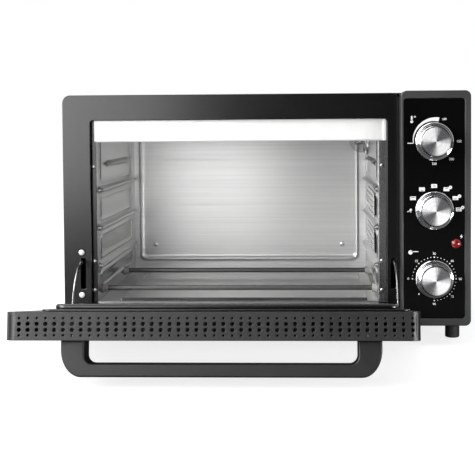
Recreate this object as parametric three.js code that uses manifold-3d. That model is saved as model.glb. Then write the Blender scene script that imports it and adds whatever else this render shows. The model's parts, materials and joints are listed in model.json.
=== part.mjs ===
// Counter-top toaster oven: drop-down door with a bail handle, and a control column with three knobs.
// Millimetres, +Z up, the front faces -Y. It is laid out with the left side at X 0, the face of the
// front frame at Y 0 and the table at Z 0, and moved at the end so that the origin is the centre of
// the underside of the bounding box. The door is modelled shut and turned open on its hinge.
import * as THREE from "three";
import { mergeVertices } from "three/addons/utils/BufferGeometryUtils.js";
import Module from "manifold-3d";

const wasm = await Module();
wasm.setup();

// ---------------------------------------------------------------- driving dimensions
const GAP = 0.3; // left between pieces that touch
const SHEET = 1.2; // sheet metal
const CURVE_STEPS = 4; // straight steps in a quarter round

const BODY = { x0: 0, x1: 420, y0: 2.5, y1: 305, z0: 19, z1: 257, radius: 8 };
const OPENING = { x0: 29, x1: 337, z0: 36, z1: 230.5, radius: 3 };
const CAVITY = { x0: 34, x1: 329, y0: 7, y1: 282, z0: 39.5, z1: 232 };
const APRON = { x0: 32.5, y0: 4.6, z0: 208, hem: 2.1 };
const TRAY = { x0: 58.5, x1: 317, y0: 9, y1: 240, rim: 3 };
const EMBOSS = { x0: 42.8, x1: 317.7, z0: 54.5, z1: 218, radius: 6, height: 2 };

const PANEL = { x0: 350, x1: 420, front: -25, back: 2.2, z0: 20, z1: 258.5, radius: 6, wall: 2 };
const FASCIA = { x0: 352.3, x1: 413.5, z0: 27.7, z1: 250.6, radius: 3, thickness: 0.8 };
const KNOB = { x: 382.9, z: 137.5, pitch: 69.6, skirt: 19.5, grip: 15.6, face: 14.4, height: 20 };
const SHAFT_RADIUS = 3;
const LENS = { x: 404.8, z: 103.8, radius: 5, stem: 4 };

const HINGE = { y: -8, z: 29.5, pin: 2.5, bracket: 5.5, openDegrees: 81.5 };
const HINGE_X = [9.5, 336.5]; // middles of the hinge brackets
const STAY_X = [20.2, 343.5]; // middles of the door stays
const SLOT = { width: 5, z0: 54.4, z1: 86.6 }; // in the frame, for the stays
const STAY = { thickness: 1.8, inner: 50, outer: 55.5, endDegrees: 93.5 };

const DOOR = { x0: -3.2, x1: 349.7, outer: -28, inner: -3.5, z0: 23, z1: 255.5, radius: 6 };
const WINDOW = { x0: 49, x1: 311, z0: 62, z1: 200, radius: 8, ledge: 4 };
const PLINTH = { x0: 32.5, x1: 334, z0: 40, z1: 228.5, radius: 10, top: 3 };
const STEP = { x0: 25, x1: 342, z0: 36.3, z1: 247, radius: 8, top: -1.5 };
const HANDLE = { x0: 42, x1: 318, post: 20.5, reach: 31.5, bar: 11.5, z0: 217.5, z1: 242.5 };
const HANDLE_RADIUS = { outer: 18, inner: 7 };

const ROD_RADIUS = 2.75;
const RODS = {
  lower_front_element: { y: 38, z: 50.5 },
  lower_rear_element: { y: 190, z: 50.5 },
  upper_front_element: { y: 60, z: 214.5 },
  upper_rear_element: { y: 205, z: 214.5 },
};
const ROD_X = [25, 339];
const RIB = { heights: [77, 117, 157], y0: 14, y1: 270, depth: 5.5, half: 3.2, crest: 1.4 };
const SHORT_RIB = { height: 183.5, y0: 65, y1: 213 };
const FAN = { x: 334, y: 130, z: 117, radius: 34, hub: 7 };
const LAMP = { y: 230, z: 205, base: 18, glass: 15, reach: 17 };
const FOOT = { radius: 7.65, inset: 13, front: 25, back: 285 };

// ---------------------------------------------------------------- solids from three.js geometries
function solidOf(geometry) {
  const bare = geometry.clone();
  bare.deleteAttribute("normal");
  bare.deleteAttribute("uv");
  const merged = mergeVertices(bare, 1e-4);
  const corners = merged.index.array;
  const kept = [];
  for (let i = 0; i < corners.length; i += 3) {
    const [a, b, c] = corners.slice(i, i + 3);
    if (a !== b && b !== c && c !== a) kept.push(a, b, c);
  }
  const vertProperties = merged.attributes.position.array;
  return new wasm.Manifold(
    new wasm.Mesh({ numProp: 3, vertProperties, triVerts: new Uint32Array(kept) }),
  );
}

function geometryOf(solid) {
  const mesh = solid.getMesh();
  const geometry = new THREE.BufferGeometry();
  geometry.setAttribute("position", new THREE.BufferAttribute(mesh.vertProperties, 3));
  geometry.setIndex(new THREE.BufferAttribute(mesh.triVerts, 1));
  geometry.computeVertexNormals();
  return geometry;
}

function join(first, ...others) {
  return geometryOf(others.reduce((sum, other) => sum.add(solidOf(other)), solidOf(first)));
}

function cut(first, ...others) {
  return geometryOf(others.reduce((rest, other) => rest.subtract(solidOf(other)), solidOf(first)));
}

function box(x0, x1, y0, y1, z0, z1) {
  const geometry = new THREE.BoxGeometry(x1 - x0, y1 - y0, z1 - z0);
  return geometry.translate((x0 + x1) / 2, (y0 + y1) / 2, (z0 + z1) / 2);
}

// A cylinder from one end to the other along X, Y or Z, with at giving the other two coordinates.
function cylinder(axis, from, to, at, radius, sides = 16) {
  const geometry = new THREE.CylinderGeometry(radius, radius, to - from, sides);
  const middle = (from + to) / 2;
  if (axis === "x") return geometry.rotateZ(-Math.PI / 2).translate(middle, at.y, at.z);
  if (axis === "z") return geometry.rotateX(Math.PI / 2).translate(at.x, at.y, middle);
  return geometry.translate(at.x, middle, at.z);
}

function roundedRectangle({ x0, x1, z0, z1, radius }, grow = 0) {
  const r = Math.max(radius + grow, 0.5);
  const [left, right, low, high] = [x0 - grow, x1 + grow, z0 - grow, z1 + grow];
  const shape = new THREE.Shape();
  shape.absarc(right - r, low + r, r, -Math.PI / 2, 0);
  shape.absarc(right - r, high - r, r, 0, Math.PI / 2);
  shape.absarc(left + r, high - r, r, Math.PI / 2, Math.PI);
  shape.absarc(left + r, low + r, r, Math.PI, (Math.PI * 3) / 2);
  return shape;
}

function polygon(points) {
  return new THREE.Shape(points.map(([u, v]) => new THREE.Vector2(u, v)));
}

function extrude(shape, depth) {
  return new THREE.ExtrudeGeometry(shape, {
    depth,
    bevelEnabled: false,
    curveSegments: CURVE_STEPS,
  });
}

// A shape drawn in (Y, Z), run along X.
function alongX(shape, x0, x1) {
  const turn = new THREE.Matrix4().makeBasis(
    new THREE.Vector3(0, 1, 0),
    new THREE.Vector3(0, 0, 1),
    new THREE.Vector3(1, 0, 0),
  );
  return extrude(shape, x1 - x0).applyMatrix4(turn).translate(x0, 0, 0);
}

// A shape drawn in (X, Z), run along Y.
function alongY(shape, y0, y1) {
  return extrude(shape, y1 - y0).rotateX(Math.PI / 2).translate(0, y1, 0);
}

// A shape drawn in (X, Y), run along Z.
function alongZ(shape, z0, z1) {
  return extrude(shape, z1 - z0).translate(0, 0, z0);
}

// A profile of [radius, distance] pairs turned about an axis through the origin that points along +Y.
function turned(profile, sides = 20) {
  return new THREE.LatheGeometry(profile.map(([r, y]) => new THREE.Vector2(r, y)), sides);
}

// ---------------------------------------------------------------- scene graph helpers
const oven = new THREE.Group();

const FINISHES = {
  black_paint: { color: 0x1b1b1c, roughness: 0.3, metalness: 0 },
  gloss_black: { color: 0x060607, roughness: 0.08, metalness: 0 },
  grey_plastic: { color: 0x2b2c2e, roughness: 0.5, metalness: 0 },
  galvanised: { color: 0xb9bbba, roughness: 0.38, metalness: 0.9 },
  bright_steel: { color: 0xdfe0e0, roughness: 0.2, metalness: 0.95 },
  spun_metal: { color: 0xc9cacb, roughness: 0.25, metalness: 1 },
  chrome: { color: 0xe6e7e8, roughness: 0.06, metalness: 1 },
  element: { color: 0x5c5b58, roughness: 0.45, metalness: 0.7 },
  glass: { color: 0x9aa3a3, roughness: 0.04, metalness: 0, transparent: true, opacity: 0.35 },
  red_lens: { color: 0xb0201c, roughness: 0.15, metalness: 0 },
  rubber: { color: 0x131313, roughness: 0.75, metalness: 0 },
  white_plastic: { color: 0xd8d6cf, roughness: 0.5, metalness: 0 },
};

function add(parent, name, geometry, finish) {
  const mesh = new THREE.Mesh(geometry, new THREE.MeshStandardMaterial(FINISHES[finish]));
  mesh.name = name;
  parent.add(mesh);
  return mesh;
}

// ---------------------------------------------------------------- outer shell
function frontBezel() {
  const { z0, z1, radius } = BODY;
  const outline = { x0: 0, x1: PANEL.x0 - GAP, z0, z1, radius };
  const plate = alongY(roundedRectangle(outline), 0, 2);
  const rim = alongY(roundedRectangle(OPENING, SHEET), 0, 4);
  const hole = alongY(roundedRectangle(OPENING), -1, 5);
  const slots = STAY_X.map((x) =>
    box(x - SLOT.width / 2, x + SLOT.width / 2, -1, 5, SLOT.z0, SLOT.z1),
  );
  const screwHoles = [92.9, 48.2].map((z) => cylinder("y", -1, 5, { x: 18.6, z }, 1.9, 8));
  return cut(join(plate, rim), hole, ...slots, ...screwHoles);
}

// A horizontal slot every 9 mm, in a block that runs along Y.
function sideVents(x0, x1, y0, length, zs) {
  return zs.map((z) => box(x0, x1, y0, y0 + length, z - 1.6, z + 1.6));
}

function outerCasing() {
  const { x0, x1, y0, y1, z0, z1, radius } = BODY;
  const tall = { x0, x1, z0: z0 - 20, z1, radius };
  const shell = alongY(roundedRectangle(tall), y0, y1);
  const inside = alongY(roundedRectangle(tall, -SHEET), y0 - 1, y1 + 1);
  const below = box(x0 - 1, x1 + 1, y0 - 1, y1 + 1, z0 - 30, z0);
  const heights = [0, 1, 2, 3, 4, 5].map((i) => 195 + i * 9);
  const right = sideVents(x1 - 3, x1 + 1, 200, 70, heights);
  const left = sideVents(x0 - 1, x0 + 3, 200, 70, heights);
  return cut(shell, inside, below, ...right, ...left);
}

function rearPanel() {
  const { x0, x1, z0, z1, radius } = BODY;
  const outline = { x0, x1, z0, z1, radius };
  const plate = alongY(roundedRectangle(outline, -0.4), BODY.y1 + GAP, BODY.y1 + GAP + SHEET);
  const slots = [];
  for (let i = 0; i < 10; i++) {
    const x = 60 + i * 22;
    slots.push(box(x, x + 14, BODY.y1 - 1, BODY.y1 + 4, 214, 218));
    slots.push(box(x, x + 14, BODY.y1 - 1, BODY.y1 + 4, 58, 62));
  }
  const glandHole = cylinder("y", BODY.y1 - 1, BODY.y1 + 4, { x: 385, z: 48 }, 6.3);
  return cut(plate, glandHole, ...slots);
}

function feet() {
  const top = BODY.z0 - GAP;
  const profile = [[0, 0], [FOOT.radius - 1, 0], [FOOT.radius, 1.5], [FOOT.radius, top], [0, top]];
  const places = {
    foot_front_left: [FOOT.inset, FOOT.front],
    foot_front_right: [BODY.x1 - FOOT.inset, FOOT.front],
    foot_rear_left: [FOOT.inset, FOOT.back],
    foot_rear_right: [BODY.x1 - FOOT.inset, FOOT.back],
  };
  for (const [name, [x, y]] of Object.entries(places)) {
    const foot = add(oven, name, turned(profile, 18).rotateX(Math.PI / 2), "rubber");
    foot.position.set(x, y, 0);
  }
}

function shell() {
  const back = BODY.y1 + SHEET + 2 * GAP;
  add(oven, "front_bezel", frontBezel(), "black_paint");
  add(oven, "outer_casing", outerCasing(), "black_paint");
  const inset = SHEET + GAP;
  const floor = box(inset, BODY.x1 - inset, BODY.y0, BODY.y1, BODY.z0, BODY.z0 + SHEET);
  add(oven, "base_plate", floor, "galvanised");
  add(oven, "rear_panel", rearPanel(), "galvanised");
  for (const [side, x] of [["left", 60], ["right", 360]]) {
    const spacer = cylinder("y", back, back + 12, { x, z: 180 }, 8, 18);
    add(oven, "rear_spacer_" + side, spacer, "grey_plastic");
  }
  const bush = join(
    cylinder("y", back, back + 4, { x: 385, z: 48 }, 9, 18),
    cylinder("y", BODY.y1 - 3, back + 11, { x: 385, z: 48 }, 6, 18),
  );
  const bore = cylinder("y", BODY.y1 - 5, back + 12, { x: 385, z: 48 }, 3.6, 18);
  add(oven, "cord_gland", cut(bush, bore), "rubber");
  for (const [level, z] of [["upper", 92.9], ["lower", 48.2]]) {
    const head = cylinder("y", -1.6, -GAP, { x: 18.6, z }, 3, 16);
    const thread = cylinder("y", -1, 7, { x: 18.6, z }, 1.5, 8);
    add(oven, "bezel_screw_" + level, join(head, thread), "bright_steel");
  }
  feet();
}

// ---------------------------------------------------------------- cavity and what is in it
function ribSection(x, height, inward) {
  const { depth, half, crest } = RIB;
  return polygon([
    [x - inward * 0.6, height - half],
    [x, height - half],
    [x + inward * depth, height - crest],
    [x + inward * depth, height + crest],
    [x, height + half],
    [x - inward * 0.6, height + half],
  ]);
}

// A side wall: a sheet with a front flange, pressed guides for the shelves and holes for the rods.
function cavitySide(x, inward) {
  const { y0, y1, z0, z1 } = CAVITY;
  const out = x - inward * SHEET;
  const flange = x - inward * 8;
  const section = polygon([
    [flange, y0],
    [x, y0],
    [x, y1],
    [out, y1],
    [out, y0 + SHEET],
    [flange, y0 + SHEET],
  ]);
  const ribs = RIB.heights.map((h) => alongY(ribSection(x, h, inward), RIB.y0, RIB.y1));
  ribs.push(alongY(ribSection(x, SHORT_RIB.height, inward), SHORT_RIB.y0, SHORT_RIB.y1));
  const holes = Object.values(RODS).map((rod) =>
    cylinder("x", x - 4, x + 4, rod, ROD_RADIUS + 0.5, 10),
  );
  return { wall: join(alongZ(section, z0, z1), ...ribs), holes };
}

function fanHoles() {
  const holes = [];
  for (let ring = 1; ring <= 2; ring++) {
    for (let i = 0; i < ring * 6; i++) {
      const angle = (i / (ring * 6)) * 2 * Math.PI + ring * 0.26;
      const y = FAN.y + ring * 14 * Math.cos(angle);
      const z = FAN.z + ring * 14 * Math.sin(angle);
      const clear = RIB.heights.every((h) => Math.abs(z - h) > RIB.half + 3.5);
      if (clear) holes.push(cylinder("x", CAVITY.x1 - 4, CAVITY.x1 + 4, { y, z }, 2.6, 8));
    }
  }
  return holes;
}

function cavity() {
  const { x0, x1, y0, y1, z0, z1 } = CAVITY;
  const left = cavitySide(x0, 1);
  add(oven, "cavity_left_wall", cut(left.wall, ...left.holes), "bright_steel");
  const right = cavitySide(x1, -1);
  add(oven, "cavity_right_wall", cut(right.wall, ...right.holes, ...fanHoles()), "bright_steel");
  const sheet = box(x0, x1, y1 + GAP, y1 + GAP + SHEET, z0, z1);
  const panel = alongY(roundedRectangle(EMBOSS), y1 + GAP - EMBOSS.height, y1 + GAP + 0.5);
  add(oven, "cavity_back", join(sheet, panel), "bright_steel");
  const ceiling = join(
    box(x0, x1, y0, y1, z1 + GAP, z1 + GAP + SHEET),
    box(x0, x1, y0, y0 + SHEET, z1 + GAP, z1 + 8),
  );
  add(oven, "cavity_ceiling", ceiling, "bright_steel");
  const floor = join(
    box(x0 + GAP, x1 - GAP, y0, y1, z0, z0 + SHEET),
    box(x0 + GAP, x1 - GAP, y0, y0 + SHEET, z0 - 9, z0 + SHEET),
  );
  add(oven, "cavity_floor", floor, "bright_steel");
  const apronBack = APRON.y0 + SHEET;
  const apron = join(
    box(APRON.x0, OPENING.x1, APRON.y0, apronBack, APRON.z0, OPENING.z1 + 3),
    box(APRON.x0, OPENING.x1, APRON.y0, APRON.y0 + APRON.hem, APRON.z0, APRON.z0 + SHEET),
  );
  add(oven, "top_apron", apron, "bright_steel");
}

// A pressed sheet with low edges that lies on the cavity floor.
function crumbTray() {
  const z = CAVITY.z0 + SHEET + GAP;
  const blank = box(TRAY.x0, TRAY.x1, TRAY.y0, TRAY.y1, z, z + TRAY.rim);
  const well = box(TRAY.x0 + 1, TRAY.x1 - 1, TRAY.y0 + 1, TRAY.y1 - 1, z + 0.9, z + TRAY.rim + 1);
  add(oven, "crumb_tray", cut(blank, well), "bright_steel");
}

function elements() {
  for (const [name, rod] of Object.entries(RODS)) {
    add(oven, name, cylinder("x", ROD_X[0], ROD_X[1], rod, ROD_RADIUS, 12), "element");
  }
}

// The lamp stands on the right wall near the back: a round base and a glass dome.
function lamp() {
  const base = [[0, 0], [LAMP.base, 0], [LAMP.base, 2], [LAMP.base - 2, 5], [0, 5]];
  const dome = [[0, 5 + GAP], [LAMP.glass, 5 + GAP]];
  for (let i = 0; i <= CURVE_STEPS; i++) {
    const angle = (i / CURVE_STEPS) * (Math.PI / 2);
    const along = 9 + (LAMP.reach - 4) * Math.sin(angle);
    dome.push([i === CURVE_STEPS ? 0 : LAMP.glass * Math.cos(angle), along]);
  }
  for (const [name, profile, finish] of [
    ["oven_lamp_base", base, "bright_steel"],
    ["oven_lamp_glass", dome, "glass"],
  ]) {
    const mesh = add(oven, name, turned(profile, 20).rotateZ(Math.PI / 2), finish);
    mesh.position.set(CAVITY.x1 - GAP, LAMP.y, LAMP.z);
  }
}

function fan() {
  const { x, y, z, radius, hub } = FAN;
  const blades = [];
  for (let i = 0; i < 6; i++) {
    const blade = box(x + 1, x + 7, -0.8, 0.8, hub - 1, radius);
    blade.rotateX((i * Math.PI) / 3).translate(0, y, z);
    blades.push(blade);
  }
  const disc = cylinder("x", x + 6.5, x + 8, { y, z }, radius - 4, 24);
  const shaft = cylinder("x", x + 7, x + 20, { y, z }, 2.4, 12);
  const middle = cylinder("x", x, x + 8, { y, z }, hub, 16);
  add(oven, "fan_blade", join(disc, middle, shaft, ...blades), "galvanised");
  const motor = cylinder("x", x + 11, x + 40, { y, z }, 22, 20);
  const bore = cylinder("x", x + 10, x + 22, { y, z }, 2.8, 12);
  add(oven, "fan_motor", cut(motor, bore), "galvanised");
}

// ---------------------------------------------------------------- control column
function knobHeight(index) {
  return KNOB.z + (1 - index) * KNOB.pitch;
}

function shaftHoles(y0, y1, radius) {
  return [0, 1, 2].map((i) =>
    cylinder("y", y0, y1, { x: KNOB.x, z: knobHeight(i) }, radius, 12),
  );
}

function controlColumn() {
  const { front, back, wall } = PANEL;
  const bed = front + FASCIA.thickness + GAP;
  const lensHole = cylinder("y", front - 1, back + 1, LENS, LENS.stem + GAP);
  const housing = cut(
    alongY(roundedRectangle(PANEL), front, back),
    alongY(roundedRectangle(PANEL, -wall), front + wall + 1, back + 1),
    alongY(roundedRectangle(FASCIA, GAP), front - 1, bed),
    lensHole,
    ...shaftHoles(front - 1, back + 1, SHAFT_RADIUS + 1),
  );
  add(oven, "control_housing", housing, "black_paint");
  const fascia = cut(
    alongY(roundedRectangle(FASCIA), front, front + FASCIA.thickness),
    lensHole,
    ...shaftHoles(front - 1, back + 1, SHAFT_RADIUS + 1),
  );
  add(oven, "control_fascia", fascia, "gloss_black");
  const dome = [[0, 6], [LENS.stem, 6], [LENS.stem, -GAP], [LENS.radius, -GAP]];
  dome.push([LENS.radius, -1.2], [LENS.radius * 0.8, -2.6], [0, -3.4]);
  const lens = add(oven, "power_indicator_lens", turned(dome.reverse(), 20), "red_lens");
  lens.position.set(LENS.x, front, LENS.z);
}

// What each knob turns, fixed behind the front wall of the control column.
function switchgear() {
  const y = PANEL.front + PANEL.wall + 1 + GAP;
  const { x } = KNOB;
  const block = (name, width, depth, index, finish) => {
    const z = knobHeight(index);
    const body = box(x - width / 2, x + width / 2, y, y + depth, z - width / 2, z + width / 2);
    add(oven, name, cut(body, ...shaftHoles(y - 1, y + 12, SHAFT_RADIUS + 0.4)), finish);
  };
  const capsule = cylinder("y", y, y + 16, { x, z: knobHeight(0) }, 14, 20);
  const bore = shaftHoles(y - 1, y + 12, SHAFT_RADIUS + 0.4)[0];
  add(oven, "thermostat", cut(capsule, bore), "white_plastic");
  block("function_switch", 32, 20, 1, "white_plastic");
  block("timer_unit", 44, 30, 2, "galvanised");
  const bell = [[0, 0], [15, 0], [15, 3], [11, 7], [0, 9]];
  const dome = add(oven, "timer_bell", turned(bell, 20), "galvanised");
  dome.position.set(x, y + 30 + GAP, knobHeight(2));
}

function knobs() {
  const { skirt, grip, face, height } = KNOB;
  const tip = height - 1;
  const seat = 1.2;
  const body = [[0, -seat], [skirt, -seat], [skirt, -3], [skirt - 1.2, -4.4], [grip + 1, -6]];
  body.push([grip, -tip + 1.5], [grip - 0.8, -tip], [0, -tip]);
  const cap = [[0, -tip - GAP], [face, -tip - GAP], [face - 0.4, -height - GAP], [0, -height - GAP]];
  ["temperature", "function", "timer"].forEach((use, index) => {
    const place = new THREE.Group();
    place.position.set(KNOB.x, PANEL.front, knobHeight(index));
    oven.add(place);
    const bore = cylinder("y", -14, 0, { x: 0, z: 0 }, SHAFT_RADIUS + GAP, 12);
    add(place, use + "_knob", cut(turned([...body].reverse()), bore), "chrome");
    add(place, use + "_knob_cap", turned([...cap].reverse()), "spun_metal");
    add(place, use + "_shaft", cylinder("y", -13.5, 11, { x: 0, z: 0 }, SHAFT_RADIUS, 12), "galvanised");
  });
}

// ---------------------------------------------------------------- door
// Door pieces are drawn in the shut position and moved so that the hinge axis is the group's origin.
function doorFrame() {
  const { x0, x1, outer, inner, z0, z1 } = DOOR;
  const top = z1 - SHEET - GAP;
  const pane = { ...WINDOW };
  const hinges = HINGE_X.flatMap((x) => [
    box(x - 2.1, x + 2.1, HINGE.y - 6.5, inner + 1, z0 - 1, HINGE.z + 6.5),
    cylinder("x", x - 7, x + 7, HINGE, HINGE.pin + GAP, 12),
  ]);
  return cut(
    alongY(roundedRectangle(DOOR), outer, inner),
    box(x0 - 1, x1 + 1, outer - 1, inner + 1, top, z1 + 1),
    alongY(roundedRectangle(pane), outer - 1, inner + 1),
    alongY(roundedRectangle(pane, WINDOW.ledge), outer - 1, outer + 4.3),
    box(x0 + 3.5, x1 - 3.5, outer + 2.5, inner - 2.5, 208, z1),
    ...handleHoles(outer - 1, outer + 3),
    ...hinges,
  );
}

// The strip that closes the top of the door, with the door's rounded corners at its ends.
function ventStrip() {
  const { x0, x1, outer, inner, z0, z1 } = DOOR;
  const rest = box(x0 - 1, x1 + 1, outer - 1, inner + 1, z0 - 1, z1 - SHEET);
  return cut(alongY(roundedRectangle(DOOR), outer, inner), rest);
}

function postMiddles() {
  return [HANDLE.x0 + HANDLE.post / 2, HANDLE.x1 - HANDLE.post / 2];
}

function handleHoles(y0, y1) {
  const z = (HANDLE.z0 + HANDLE.z1) / 2;
  return postMiddles().map((x) => cylinder("y", y0, y1, { x, z }, 2.3, 10));
}

// A bail: two posts and a bar in one bend, square in section with rounded corners in plan.
function handleBail() {
  const { x0, x1, post, reach, bar, z0, z1 } = HANDLE;
  const base = DOOR.outer - GAP;
  const tip = DOOR.outer - reach;
  const { outer: R, inner: r } = HANDLE_RADIUS;
  const plan = new THREE.Shape();
  plan.moveTo(x0, base);
  plan.lineTo(x0, tip + R);
  plan.absarc(x0 + R, tip + R, R, Math.PI, (Math.PI * 3) / 2);
  plan.absarc(x1 - R, tip + R, R, -Math.PI / 2, 0);
  plan.lineTo(x1, base);
  plan.lineTo(x1 - post, base);
  plan.absarc(x1 - post - r, tip + bar + r, r, 0, -Math.PI / 2, true);
  plan.absarc(x0 + post + r, tip + bar + r, r, -Math.PI / 2, -Math.PI, true);
  plan.lineTo(x0 + post, base);
  return cut(alongZ(plan, z0, z1), ...handleHoles(DOOR.outer - 12, DOOR.outer + 1));
}

// The inner sheet: a low step, and a plinth on it that enters the opening when the door is shut.
function innerPanel() {
  const window = { ...WINDOW, x0: WINDOW.x0 + 6, x1: WINDOW.x1 - 6 };
  return cut(
    join(
      alongY(roundedRectangle(STEP), DOOR.inner + GAP, STEP.top),
      alongY(roundedRectangle(PLINTH), STEP.top - 0.5, PLINTH.top),
    ),
    alongY(roundedRectangle(window, -4), DOOR.inner - 1, PLINTH.top + 1),
    alongY(roundedRectangle(window), PLINTH.top - 3 - GAP, PLINTH.top + 1),
  );
}

// A stay is a foot on the door's inner face, a tab, and an arm that curves about the hinge axis.
function stay(x) {
  const { thickness, inner, outer, endDegrees } = STAY;
  const onArc = (radius, degrees) => {
    const angle = THREE.MathUtils.degToRad(degrees);
    return [HINGE.y + radius * Math.sin(angle), HINGE.z + radius * Math.cos(angle)];
  };
  const face = DOOR.inner + GAP;
  const points = [[face, HINGE.z + 46.5], [face, HINGE.z + 56.5], [HINGE.y + 22, HINGE.z + 51.5]];
  const steps = 7;
  for (let i = 0; i <= steps; i++) points.push(onArc(outer, 30 + ((endDegrees - 30) * i) / steps));
  for (let i = steps; i >= 0; i--) points.push(onArc(inner, 22 + ((endDegrees - 22) * i) / steps));
  const arm = alongX(polygon(points), x - thickness / 2, x + thickness / 2);
  const side = x < 100 ? [x - 6, x + thickness / 2] : [x - thickness / 2, x + 3.7];
  const foot = box(side[0], side[1], face, face + 1.4, HINGE.z + 44, HINGE.z + 59);
  return join(arm, foot);
}

function hinges() {
  ["left", "right"].forEach((side, i) => {
    const x = HINGE_X[i];
    const eye = cylinder("x", x - 1.5, x + 1.5, HINGE, HINGE.bracket, 20);
    const arm = box(x - 1.5, x + 1.5, HINGE.y, -GAP, HINGE.z - HINGE.bracket + 0.3, HINGE.z + 1.5);
    const bore = cylinder("x", x - 3, x + 3, HINGE, HINGE.pin + GAP, 16);
    add(oven, "hinge_bracket_" + side, cut(join(eye, arm), bore), "bright_steel");
  });
}

function door() {
  const group = new THREE.Group();
  group.position.set(0, HINGE.y, HINGE.z);
  group.rotation.x = THREE.MathUtils.degToRad(HINGE.openDegrees);
  oven.add(group);
  const place = (name, geometry, finish) =>
    add(group, name, geometry.translate(0, -HINGE.y, -HINGE.z), finish);

  const { outer } = DOOR;
  place("door_frame", doorFrame(), "grey_plastic");
  place("door_vent_strip", ventStrip(), "grey_plastic");
  const outerPane = alongY(roundedRectangle(WINDOW, WINDOW.ledge - GAP), outer, outer + 4);
  place("door_outer_glass", outerPane, "glass");
  place("door_inner_panel", innerPanel(), "grey_plastic");
  const window = { ...WINDOW, x0: WINDOW.x0 + 6, x1: WINDOW.x1 - 6 };
  const innerPane = alongY(roundedRectangle(window, -GAP), PLINTH.top - 3, PLINTH.top);
  place("door_inner_glass", innerPane, "glass");
  place("door_handle", handleBail(), "grey_plastic");
  ["left", "right"].forEach((side, i) => {
    const at = { x: postMiddles()[i], z: (HANDLE.z0 + HANDLE.z1) / 2 };
    const head = cylinder("y", outer + 2.5 + GAP, outer + 5.3, at, 4, 12);
    const thread = cylinder("y", outer - 11, outer + 4, at, 2, 8);
    place("handle_screw_" + side, join(head, thread), "bright_steel");
    place("door_stay_" + side, stay(STAY_X[i]), "bright_steel");
    const pin = cylinder("x", HINGE_X[i] - 6.5, HINGE_X[i] + 6.5, HINGE, HINGE.pin, 16);
    place("hinge_pin_" + side, pin, "bright_steel");
  });
}

// ---------------------------------------------------------------- assembly
shell();
cavity();
crumbTray();
elements();
lamp();
fan();
controlColumn();
switchgear();
knobs();
hinges();
door();

const bounds = new THREE.Box3().setFromObject(oven, true);
oven.position.set(
  -(bounds.min.x + bounds.max.x) / 2,
  -(bounds.min.y + bounds.max.y) / 2,
  -bounds.min.z,
);

export default oven;
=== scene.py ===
# The looks of a counter-top toaster oven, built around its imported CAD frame.
# Shapes are laid out in millimetres from the left edge of the front frame (X), its face (Y) and the
# table (Z). Door pieces are drawn with the door shut and swung open with the CAD door.
import json
import math
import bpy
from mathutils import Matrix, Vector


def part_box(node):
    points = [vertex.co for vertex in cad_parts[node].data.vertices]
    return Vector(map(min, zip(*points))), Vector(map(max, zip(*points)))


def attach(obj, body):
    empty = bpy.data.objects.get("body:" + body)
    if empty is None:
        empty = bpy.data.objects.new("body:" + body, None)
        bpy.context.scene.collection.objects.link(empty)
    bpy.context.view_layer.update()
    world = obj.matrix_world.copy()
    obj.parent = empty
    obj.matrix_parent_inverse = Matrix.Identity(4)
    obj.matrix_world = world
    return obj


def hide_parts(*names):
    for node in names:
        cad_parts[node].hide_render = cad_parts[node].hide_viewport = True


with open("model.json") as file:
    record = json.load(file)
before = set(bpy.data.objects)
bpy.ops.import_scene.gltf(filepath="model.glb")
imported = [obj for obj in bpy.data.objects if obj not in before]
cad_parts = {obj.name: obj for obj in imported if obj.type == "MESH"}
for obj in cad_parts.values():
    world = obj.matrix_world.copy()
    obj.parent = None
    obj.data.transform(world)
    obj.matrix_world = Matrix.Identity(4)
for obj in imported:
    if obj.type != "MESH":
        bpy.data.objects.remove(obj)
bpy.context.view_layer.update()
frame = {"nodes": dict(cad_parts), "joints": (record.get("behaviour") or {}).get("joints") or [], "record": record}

from types import SimpleNamespace

import bmesh
import bpy
import numpy as np
from mathutils import Euler, Matrix, Vector

MM = 0.001

# ------------------------------------------------------------------ places, from the frame
_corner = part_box("front_bezel")[0]
ORIGIN = Vector((_corner.x, _corner.y, 0.0))
_hinge = next(j for j in frame["joints"] if j["name"] == "door_hinge")
HINGE = Vector(_hinge["pos_m"])
OPEN_ANGLE = -math.radians(_hinge["range_deg"][0])
SWING = (
    Matrix.Translation(HINGE) @ Matrix.Rotation(OPEN_ANGLE, 4, "X") @ Matrix.Translation(-HINGE)
)
TO_ROW = Matrix.Translation(ORIGIN) @ Matrix.Scale(MM, 4)
DOOR_NODES = frame["record"]["behaviour"]["bodies"]["door"]


def spot(node):
    """A CAD node's box in layout millimetres, with the door shut."""
    points = np.array([v.co[:] for v in frame["nodes"][node].data.vertices])
    if node in DOOR_NODES:
        hinge = np.array(HINGE)
        points = (points - hinge) @ np.array(SWING.to_3x3()) + hinge
    points = (points - np.array(ORIGIN)) / MM
    low, high = points.min(0), points.max(0)
    box = SimpleNamespace(x0=low[0], x1=high[0], y0=low[1], y1=high[1], z0=low[2], z1=high[2])
    box.x, box.y, box.z = (low + high) / 2
    box.radius = (high[2] - low[2]) / 2
    return box


# ------------------------------------------------------------------ materials
def new_material(name):
    """A material, its nodes and its main shader."""
    material = bpy.data.materials.new(name)
    material.use_nodes = True
    tree = material.node_tree
    return material, tree, tree.nodes["Principled BSDF"]


def noise_node(tree, scale, detail=3.0, stretch=(1, 1, 1)):
    """Noise in the piece's own coordinates, finer along the axes that are stretched."""
    place = tree.nodes.new("ShaderNodeTexCoord")
    mapping = tree.nodes.new("ShaderNodeMapping")
    mapping.inputs["Scale"].default_value = stretch
    noise = tree.nodes.new("ShaderNodeTexNoise")
    noise.inputs["Scale"].default_value = scale
    noise.inputs["Detail"].default_value = detail
    tree.links.new(place.outputs["Object"], mapping.inputs["Vector"])
    tree.links.new(mapping.outputs["Vector"], noise.inputs["Vector"])
    return noise.outputs["Fac"]


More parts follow.
